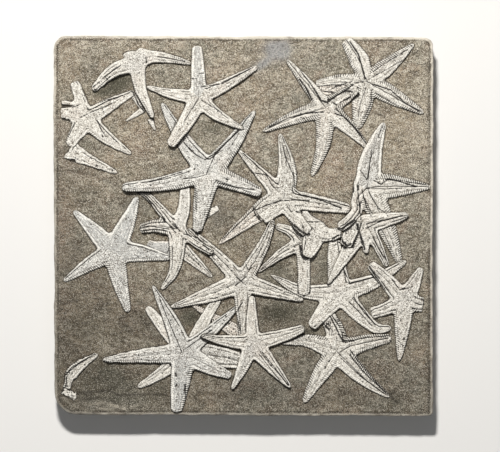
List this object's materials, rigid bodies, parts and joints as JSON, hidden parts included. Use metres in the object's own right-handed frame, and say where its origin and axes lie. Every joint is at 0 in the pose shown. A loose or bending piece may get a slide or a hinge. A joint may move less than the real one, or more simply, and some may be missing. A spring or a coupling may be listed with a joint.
{
  "type": "starfish fossil",
  "caption": "Block of sandstone that lies flat, with a crowd of fossil starfish and broken arms standing in relief on its upper face.",
  "frame": {"origin": "middle of the slab's underside", "axes": "+Z out of the face with the fossils, +Y towards the edge with the crescent-shaped starfish, +X towards the right edge seen from above"},
  "size_m": [0.38, 0.3805, 0.0392],
  "materials": {
    "sandstone": "matt, fine-grained brown-grey sandstone with a paler worn edge",
    "pale_shell": "matt, pale beige-grey, ribbed and pitted",
    "grey_shell": "matt, pale blue-grey, ribbed and pitted",
    "warm_shell": "matt, pale sandy pink, ribbed and pitted"
  },
  "bodies": {
    "root": {"arm_buried": "warm_shell", "arm_curled": "pale_shell", "arm_lower_left": "pale_shell", "arm_middle": "pale_shell", "arm_under_centre": "warm_shell", "arm_upper_left": "pale_shell", "chip_middle": "pale_shell", "crumbs_lower_left": "pale_shell", "plates_middle": "pale_shell", "plates_upper": "pale_shell", "slab": "sandstone", "starfish_bottom_centre": "pale_shell", "starfish_bottom_left": "pale_shell", "starfish_bottom_right": "pale_shell", "starfish_broken_left": "pale_shell", "starfish_buried": "pale_shell", "starfish_centre": "pale_shell", "starfish_crescent": "pale_shell", "starfish_far_right": "pale_shell", "starfish_flat_left": "grey_shell", "starfish_high_middle": "grey_shell", "starfish_inner_right": "pale_shell", "starfish_low_centre": "pale_shell", "starfish_low_right": "pale_shell", "starfish_raised_left": "pale_shell", "starfish_right_edge": "pale_shell", "starfish_right_middle": "pale_shell", "starfish_small_centre": "pale_shell", "starfish_top": "pale_shell", "starfish_twisted": "pale_shell", "starfish_upper_right": "pale_shell", "strip_by_crescent": "pale_shell", "tip_by_crescent": "pale_shell", "tip_upper_left": "pale_shell"}
  },
  "joints": []
}
